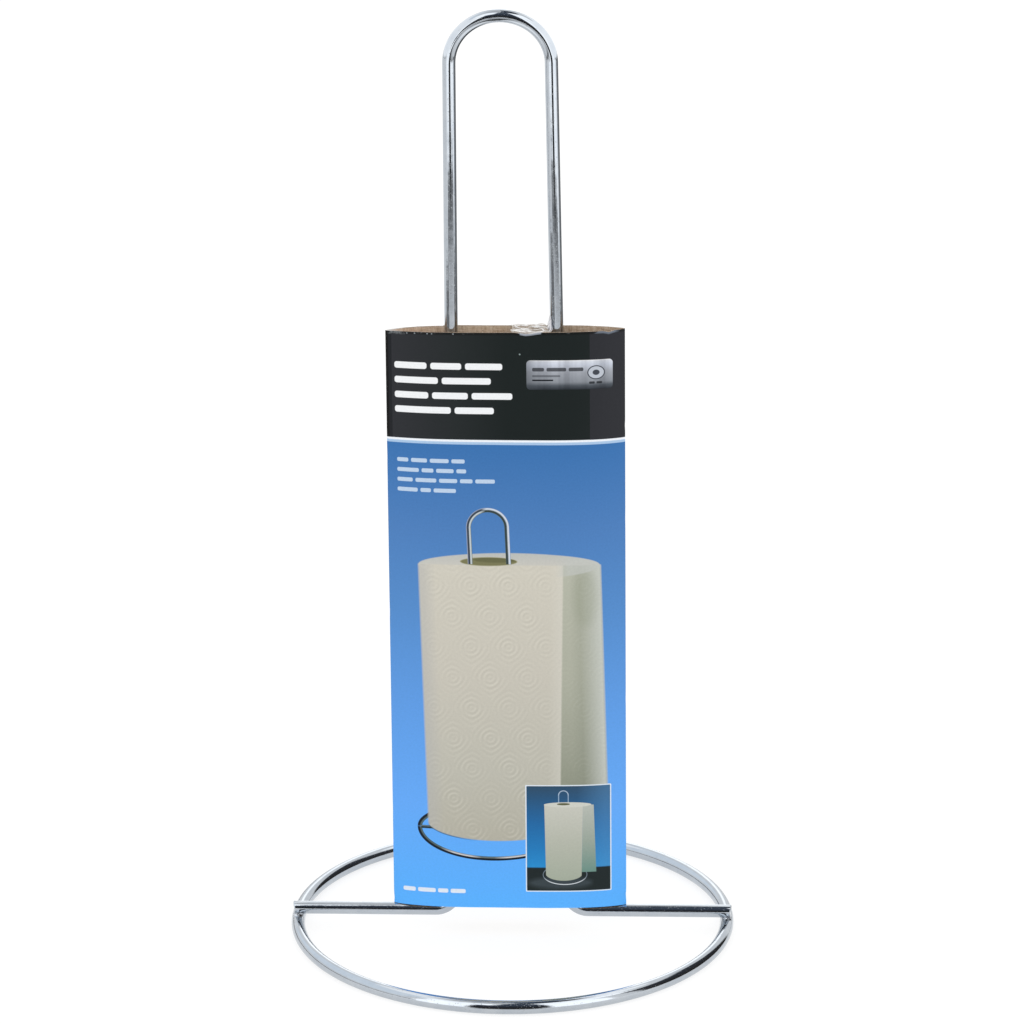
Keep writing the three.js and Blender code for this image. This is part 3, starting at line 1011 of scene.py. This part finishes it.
def weld(name, side, material):
    """Each point runs out from the weld's heart until it meets the filled surface."""
    heart = Vector((side * math.sqrt(RING_RADIUS**2 - UPRIGHT_Y**2), UPRIGHT_Y, WELD_Z))

    def surface_point(direction):
        reach = WALK_FROM
        while reach < WELD_REACH:
            distance = weld_distance(heart + direction * reach, side)
            if distance > -WALK_CLOSE:
                break
            reach += max(-distance * 0.7, WALK_STEP)
        return heart + direction * min(reach, WELD_REACH)

    draft = MeshDraft()
    poles = [draft.add_points([surface_point(UP * end)]) for end in (1, -1)]
    for i in range(1, WELD_RINGS):
        polar = math.pi * i / WELD_RINGS
        for j in range(WELD_SIDES):
            turn = 2 * math.pi * j / WELD_SIDES
            flat = Vector((math.cos(turn), math.sin(turn), 0)) * math.sin(polar)
            draft.points.append(surface_point(flat + UP * math.cos(polar)))
    first = len(poles)
    draft.add_grid(first, WELD_RINGS - 1, WELD_SIDES, None, (False, True), flip=True)
    last = first + (WELD_RINGS - 2) * WELD_SIDES
    for j in range(WELD_SIDES):
        after = (j + 1) % WELD_SIDES
        draft.add_face([poles[0], first + j, first + after])
        draft.add_face([poles[1], last + after, last + j])
    lump = draft.build(name + "_lump", [material], "wire")
    put_in_frame(lump, "holder", "weld_metal", name)


# ---- sleeve ----

CREASE_ROUND, CREASE_ROUND_INSIDE = 0.3, 0.12  # how round the folded edges are
CREASE_POWER = 70
PANEL_STEPS = 72
SLEEVE_ROWS = 110
SEAM_AT = -0.52  # where the glued lap ends on the back, as a part of the half chord
SEAM_STEP = 0.38
EDGE_SWELL = 0.07  # how far the cut edges stand out in their middle
CORNER_PUSH = (1.2, -0.3)  # how far the left and right creases lean forward at the top
PRINTED, KRAFT, CORE = 0, 1, 2  # the sleeve's materials

# dips of the front's upper edge: place across, depth and half width
FRONT_DIPS = ((FRONT_DIP_X, 0.62, 3.6), (FRONT_TEAR_X, 0.45, 1.7))
EDGE_REACH = 5  # how far from a cut edge its unevenness shows

# knocks on the folded edges: height, width and depth
KNOCK_POWER = 24  # how little of the panel beside the fold a knock takes
LEFT_KNOCKS = ((140, 1.5, 0.08), (92, 2.4, 0.06), (30, 1.4, 0.08), (1.5, 1.8, 0.12))
RIGHT_KNOCKS = ((149, 1.2, 0.08), (120, 2, 0.06), (64, 1.6, 0.08), (3, 2, 0.12))


def panel_depth(u, bulge, rounding):
    """How far a panel stands off the plane of the two creases, at u from -1 to 1."""
    crown = (bulge - rounding) * (1 - u**4)
    return crown + rounding * math.sqrt(max(1 - abs(u) ** CREASE_POWER, 0))


def panel_stations(extra=()):
    stations = [math.sin(math.pi / 2 * (2 * i / PANEL_STEPS - 1)) for i in range(PANEL_STEPS + 1)]
    return sorted(stations + list(extra))


FRONT_STATIONS = panel_stations()
BACK_STATIONS = panel_stations((SEAM_AT - 0.0015, SEAM_AT))


def wave(x, z, front):
    """Gentle unevenness of a panel, in mm away from the wire."""
    if front:
        return 0.22 * ripple(x, 0, z, 34, 1) + 0.05 * ripple(x, 0, z, 9, 2)
    return 0.3 * ripple(x, 0, z, 40, 3) + 0.05 * ripple(x, 0, z, 10, 4)


def rim_lift(x, front):
    """How far the upper edge stands above its nominal height, in mm."""
    u = x / (SLEEVE_CHORD / 2)
    back = 0 if front else 1
    fray = 0.05 * ripple(x, 0, 0, 7, 5 + back) + 0.04 * ripple(x, 0, 0, 1.8, 7 + back)
    drop = 0.25 * (1 - u)
    if front:
        drop += sum(deep * max(1 - abs(x - at) / half, 0) for at, deep, half in FRONT_DIPS)
    else:
        drop += 0.32 * (1 - u**4) * (1 - 0.6 * u)
    return fray - drop


def foot_lift(x, front):
    return 0.05 * ripple(x, 0, 0, 8, 11 if front else 12)


def sleeve_point(u, front, row, inner):
    height = SLEEVE_HEIGHT * row
    x = (SLEEVE_CHORD / 2 - (CREASE_WALL if inner else 0)) * u
    bulge = (FRONT_BULGE if front else BACK_BULGE) - (CARD if inner else 0)
    depth = panel_depth(u, bulge, CREASE_ROUND_INSIDE if inner else CREASE_ROUND)
    depth += wave(x, height, front) * (1 - u**4)
    if not front and not inner and u >= SEAM_AT:
        depth += SEAM_STEP * (1 - smoothstep(SEAM_AT + 0.18, SEAM_AT + 0.5, u))
    push = lerp(*CORNER_PUSH, (u + 1) / 2) * row * row * u**6
    knocks = RIGHT_KNOCKS if u > 0 else LEFT_KNOCKS
    dent = sum(deep * bump_at(height, at, width) for at, width, deep in knocks)
    x -= math.copysign(dent * abs(u) ** KNOCK_POWER, u)
    lift = rim_lift(x, front) * smoothstep(SLEEVE_HEIGHT - EDGE_REACH, SLEEVE_HEIGHT, height)
    lift += foot_lift(x, front) * (1 - smoothstep(0, EDGE_REACH, height))
    y = UPRIGHT_Y + (-depth if front else depth) - push
    return Vector((SLEEVE_CENTRE_X + SLEEVE_LEAN * row + x, y, SLEEVE_BOTTOM + height + lift))


def sleeve_rows():
    """Heights as parts of the whole, closer together near the two cut edges."""
    parts = [i / SLEEVE_ROWS for i in range(SLEEVE_ROWS + 1)]
    return [part - 0.11 * math.sin(2 * math.pi * part) for part in parts]


def card_sleeve(printed, kraft, core):
    """The flattened tube: an outer and an inner skin, joined round its two cut edges."""
    around = [(u, True) for u in FRONT_STATIONS]
    around += [(u, False) for u in reversed(BACK_STATIONS[1:-1])]
    across = [(u + 1) / 2 * SLEEVE_CHORD for u in FRONT_STATIONS]
    across += [SLEEVE_CHORD * (1 + (1 - u) / 2) for u in reversed(BACK_STATIONS[:-1])]
    rows = sleeve_rows()
    columns = len(around)
    draft = MeshDraft()
    outer, inside = (
        draft.add_points([sleeve_point(u, front, row, inner) for row in rows for u, front in around])
        for inner in (False, True)
    )

    def uv(row, column):
        return across[column], rows[row] * SLEEVE_HEIGHT

    draft.add_grid(outer, len(rows), columns, uv, (False, True), material=PRINTED)
    lap_column = next(j for j, (u, front) in enumerate(around) if not front and u < SEAM_AT) - 1
    for i in range(len(rows) - 1):
        draft.materials[i * columns + lap_column] = CORE
    draft.add_grid(inside, len(rows), columns, uv, (False, True), True, KRAFT)

    for row, sign in ((0, -1), (len(rows) - 1, 1)):
        base = row * columns
        middle = []
        for j in range(columns):
            crown = (draft.points[outer + base + j] + draft.points[inside + base + j]) / 2
            middle.append(crown + UP * (sign * EDGE_SWELL))
        crest = draft.add_points(middle)
        for j in range(columns):
            after = (j + 1) % columns
            for first, second in ((outer + base, crest), (crest, inside + base)):
                corners = [first + j, first + after, second + after, second + j]
                draft.add_face(corners[::sign], None, CORE)
    sleeve = draft.build("card_sleeve_shell", [printed, kraft, core], "print", 40)
    put_in_frame(sleeve, "sleeve", "printed_card", "card_sleeve")


# ---- tape strip ----

TAPE_FILM = 0.07
TAPE_BEND = 0.7  # where the strip leaves the mouth, as a part of its length
TAPE_TAB = 4.2
TAPE_REACH = 2.8  # half the width, which leaves room for the sleeve to lift past
TAPE_SAG = 0.45
TAPE_TURN = 212  # the side of the leg that it sticks to
TAPE_SPREAD = (42, 7)  # half its angle round the leg, below and above
TAPE_WRAP = (2.75, 2.06)  # how far it stands from the leg's middle, below and above
TAPE_STEPS, TAPE_WIDTHS = 120, 48
TAPE_LENGTH, TAPE_WIDTH = 12, 5.6  # as its creases are drawn


def tape_point(t, s):
    """A place on the strip, t along it from the left and s across it from front to back."""
    sleeve_top = SLEEVE_BOTTOM + SLEEVE_HEIGHT
    u = min(t / TAPE_BEND, 1)
    ragged = 0.8 * ripple(0, s * 3, 0, 1.1, 31) * (1 - u)
    x = lerp(tape_low.x, tape_high.x - 0.2, u) + ragged
    crinkle = 0.55 * ripple(x / 5, s * 2.6, 0, 1, 32)
    crinkle += 0.2 * ripple(x / 1.6, s * 6, 0, 1, 33)
    sag = TAPE_SAG * bump_at(x, FRONT_DIP_X + SLEEVE_CENTRE_X + SLEEVE_LEAN, 4) * (1 - s) / 2
    flat = Vector((x, UPRIGHT_Y + TAPE_REACH * s, sleeve_top - 0.1 + crinkle - sag + 0.25 * s))

    up = max(t - TAPE_BEND, 0) / (1 - TAPE_BEND)
    leg_x = lerp(LEG_SPACING_BOTTOM / 2, LOOP_LEAN + LEG_SPACING_TOP / 2, sleeve_top / ARCH_BASE_Z)
    spread = lerp(*TAPE_SPREAD, up)
    angle = math.radians(TAPE_TURN - s * spread + 5 * ripple(up * 3, s, 0, 1, 34))
    reach = lerp(*TAPE_WRAP, up) + 0.12 * abs(ripple(up * 6, s * 2, 0, 1, 35))
    high = lerp(sleeve_top - 0.4, sleeve_top + TAPE_TAB, up)
    wrapped = Vector((leg_x + reach * math.cos(angle), UPRIGHT_Y + reach * math.sin(angle), high))
    return flat.lerp(wrapped, smoothstep(TAPE_BEND - 0.1, TAPE_BEND + 0.1, t))


def tape_strip(material):
    draft = MeshDraft()
    rows, columns = TAPE_STEPS + 1, TAPE_WIDTHS + 1
    skins = []
    for skin in (0, 1):
        shift = Vector((-0.3, 0, 1)) * (skin * TAPE_FILM)
        places = [(i / TAPE_STEPS, 2 * j / TAPE_WIDTHS - 1) for i in range(rows) for j in range(columns)]
        skins.append(draft.add_points([tape_point(*place) + shift for place in places]))

    def uv(row, column):
        return TAPE_LENGTH * row / TAPE_STEPS, TAPE_WIDTH * column / TAPE_WIDTHS

    for skin, first in enumerate(skins):
        draft.add_grid(first, rows, columns, uv, flip=skin == 1)
    low, high = skins
    border = [(0, j) for j in range(TAPE_WIDTHS)] + [(i, TAPE_WIDTHS) for i in range(TAPE_STEPS)]
    border += [(TAPE_STEPS, j) for j in range(TAPE_WIDTHS, 0, -1)]
    border += [(i, 0) for i in range(TAPE_STEPS, 0, -1)]
    edge = [i * columns + j for i, j in border]
    for a, b in zip(edge, edge[1:] + edge[:1]):
        draft.add_face([low + b, low + a, high + a, high + b])
    tape = draft.build("tape_strip_film", [material], "film", 50)
    put_in_frame(tape, "holder", "clear_tape", "tape_strip")


# ---- the studio ----

CARD_STEPS = 32
FLOOR_SIZE = 12000
FLOOR_GREY, FLOOR_GLOW = 0.26, 0.79
ROOM_LIGHT = 1.05
STUDIO_CENTRE = Vector((0, 0, 60))
WHITE = grey(1)


def card_material(name, turn, rise, soft, stops, strength):
    """Glows with the colours of `stops` up its height, and fades out over `soft` at its edges."""
    shader = Shader(name)
    across = shader.part(shader.uv_place("card"), 0)
    up = across.node.outputs[1]
    mask = 1
    for value, (low, high), fade in ((across, turn, soft[0]), (up, rise, soft[1])):
        begun = shader.line(value, 1 / fade, -low / fade, clamp=True)
        left = shader.line(value, -1 / fade, high / fade, clamp=True)
        mask = shader.times(shader.times(begun, left), mask)
    tone = shader.ramp(shader.scale_range(up, *rise), stops)
    glow = shader.add("Emission", (tone, strength))
    shader.output(shader.add("MixShader", (mask, shader.add("BsdfTransparent"), glow)))
    shader.material.cycles.emission_sampling = "NONE"
    return shader.material


def studio_card(name, turn, rise, soft, stops, strength, rows, place):
    """A curved card that only reflections see. Turn 0 is towards the camera, 90 is +X. `place`
    takes a direction over the floor and a rise, and gives a point."""
    draft = MeshDraft()
    spots = []
    for i in range(rows):
        for j in range(CARD_STEPS + 1):
            spots.append((lerp(*turn, j / CARD_STEPS), lerp(*rise, i / (rows - 1))))
            side = math.radians(spots[-1][0])
            draft.points.append(place(Vector((math.sin(side), -math.cos(side), 0)), spots[-1][1]))
    draft.add_grid(0, rows, CARD_STEPS + 1, lambda row, column: spots[row * (CARD_STEPS + 1) + column])
    card = draft.build(name, [card_material(name, turn, rise, soft, stops, strength)], "card")
    for kind in ("camera", "diffuse", "transmission", "volume_scatter", "shadow"):
        setattr(card, "visible_" + kind, False)
    card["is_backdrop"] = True


def sky_card(name, turn, rise, soft, stops, strength=1, radius=1500):
    """Part of a sphere, from one elevation to another."""

    def place(flat, up):
        up = math.radians(up)
        return STUDIO_CENTRE + (flat * math.cos(up) + UP * math.sin(up)) * radius

    studio_card(name, turn, rise, (soft, soft), stops, strength, CARD_STEPS + 1, place)


def floor_card(name, turn, reach, soft, stops, strength=1, height=1):
    """Part of a flat ring just over the floor."""
    studio_card(name, turn, reach, soft, stops, strength, 2, lambda flat, at: flat * at + UP * height)


def wall_card(name, turn, heights, radius, soft, stops, strength):
    """Part of an upright cylinder about the holder."""
    studio_card(name, turn, heights, soft, stops, strength, 2, lambda flat, at: flat * radius + UP * at)


def floor():
    draft = MeshDraft()
    corners = [(-1, -1, 0), (1, -1, 0), (1, 1, 0), (-1, 1, 0)]
    draft.add_points([Vector(corner) * FLOOR_SIZE for corner in corners])
    draft.add_face([0, 1, 2, 3])
    shader = Shader("floor")
    matte = shader.add("BsdfDiffuse", (grey(FLOOR_GREY),))
    glow = shader.add("Emission", (WHITE, FLOOR_GLOW))
    shader.output(shader.add("AddShader", (matte, glow)))
    draft.build("floor", [shader.material], "floor")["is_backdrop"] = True


def even(*colour):
    """The stops of a card that has one colour all over."""
    colour = grey(*colour) if len(colour) == 1 else (*colour, 1)
    return [(0, colour), (1, colour)]


NEAR_BLACK = (0.030, 0.024, 0.018, 1)
CHARCOAL = (0.030, 0.032, 0.036, 1)
SLATE = (0.10, 0.13, 0.18, 1)
ROOM = [(0, NEAR_BLACK), (0.25, CHARCOAL), (0.5, (0.06, 0.07, 0.09, 1)), (1, SLATE)]
LOW_ROOM = [(0, NEAR_BLACK), (1, (0.06, 0.065, 0.08, 1))]
CEILING = [(0, CHARCOAL), (1, SLATE)]
WALL = even(0.88, 0.94, 1)
LINE = [(0, grey(0.05)), (0.3, grey(0.03)), (1, grey(0.12))]
SIDE = [(0, grey(0.05)), (0.25, grey(0.13)), (0.42, grey(0.24))]
NEAR = [(0.45, grey(0.9)), (0.75, grey(0.62))]
LIT = even(1)

# name, turns, elevations, soft edge, stops, strength, radius
SKY_CARDS = (
    ("dark_front", (-22, 22), (-6, 80), 3, ROOM),
    ("softbox_left", (-50, -19), (-6, 62), 4, LIT, 2),
    ("softbox_right", (19, 54), (-6, 62), 4, LIT, 2),
    ("softbox_upper_left", (-62, -8), (45, 78), 5, LIT, 1.9, 1450),
    ("softbox_upper_right", (18, 88), (45, 76), 5, LIT, 1.9, 1450),
    ("ceiling_left", (-177, -2), (71, 90), 3, even(0.8), 1, 1400),
    ("ceiling_right", (-3, 187), (70, 90), 3, CEILING, 1, 1425),
    ("dark_right", (66, 142), (-6, 47), 5, LOW_ROOM),
    ("wall_left", (-156, -52), (10, 66), 8, WALL, 1.25),
    ("horizon_left", (-168, -46), (-6, 3.5), 1.5, even(0.22)),
    ("wall_back", (169, 191), (-6, 44), 6, LIT, 1.9),
)
# name, turns, heights, radius, soft edges, stops, strength
WALL_CARDS = (
    ("shoulder_left", (-160, -24), (236, 460), 170, (12, 12), LIT, 1.5),
    ("shoulder_right", (30, 166), (236, 460), 170, (12, 12), LIT, 1.6),
)
# name, turns, distances, soft edges, stops, strength, height
FLOOR_CARDS = (
    ("floor_glow", (-52, 88), (690, 2000), (20, 70), LIT, 1.75),
    ("floor_spill_left", (-52, -14), (62, 380), (8, 60), LIT, 1.5),
    ("floor_spill_right", (16, 56), (62, 380), (8, 60), LIT, 1.5),
    ("floor_shade", (-40, 64), (620, 800), (8, 55), even(0.28), 1, 2),
    ("floor_streak_left", (-84, -22), (500, 650), (8, 30), even(0.25), 1, 1.5),
    ("floor_streak_right", (58, 98), (500, 650), (8, 30), even(0.25), 1, 1.5),
    ("floor_centre", (-22, 58), (440, 650), (8, 30), NEAR, 1.15, 1.5),
    ("floor_line", (-4, 28), (690, 2000), (3, 40), LINE, 1, 3),
    ("floor_front", (-11, 12), (71, 420), (2, 1.5), even(0.1)),
    ("floor_side", (88, 165), (66, 1500), (8, 40), SIDE, 1, 2.5),
)


def studio():
    """A white room for the card, and cards that give the chrome its darks and highlights."""
    world = bpy.data.worlds.new("studio")
    bpy.context.scene.world = world
    world.use_nodes = True
    sky = world.node_tree.nodes["Background"]
    sky.inputs["Color"].default_value = WHITE
    sky.inputs["Strength"].default_value = ROOM_LIGHT
    floor()
    for make, cards in ((sky_card, SKY_CARDS), (wall_card, WALL_CARDS), (floor_card, FLOOR_CARDS)):
        for card in cards:
            make(*card)
    bpy.context.scene.view_settings.view_transform = "Standard"


CAMERA_TARGET = Vector((0.0003, 0, 0.1295))
CAMERA_DISTANCE = 1.917
CAMERA_TURN = math.radians(-1.863)
CAMERA_DOWN = math.radians(20.104)
CAMERA_ROLL = math.radians(-0.218)
CAMERA_LENS = 234.24
CAMERA_SENSOR = 36


def camera():
    """Looks at its target from in front and above."""
    data = bpy.data.cameras.new("camera")
    data.lens = CAMERA_LENS
    data.sensor_width = CAMERA_SENSOR
    obj = bpy.data.objects.new("camera", data)
    turn = Matrix.Rotation(-CAMERA_TURN, 4, "Z") @ Matrix.Rotation(math.pi / 2 - CAMERA_DOWN, 4, "X")
    turn = turn @ Matrix.Rotation(CAMERA_ROLL, 4, "Z")
    back = Matrix.Translation((0, 0, CAMERA_DISTANCE))
    obj.matrix_world = Matrix.Translation(CAMERA_TARGET) @ turn @ back
    bpy.context.scene.collection.objects.link(obj)
    bpy.context.scene.camera = obj


# ---- making ----

camera()
studio()

chrome = chrome_material()
weld_metal = weld_material()
base_ring(chrome)
upright_loop(chrome)
weld("weld_left", -1, weld_metal)
weld("weld_right", 1, weld_metal)
card_sleeve(printed_material(), kraft_material(), board_core_material())
tape_strip(tape_material())

boxes = {"cad": cad_box, "visual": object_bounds()}
{name: [list(corner) for corner in box] for name, box in boxes.items()}
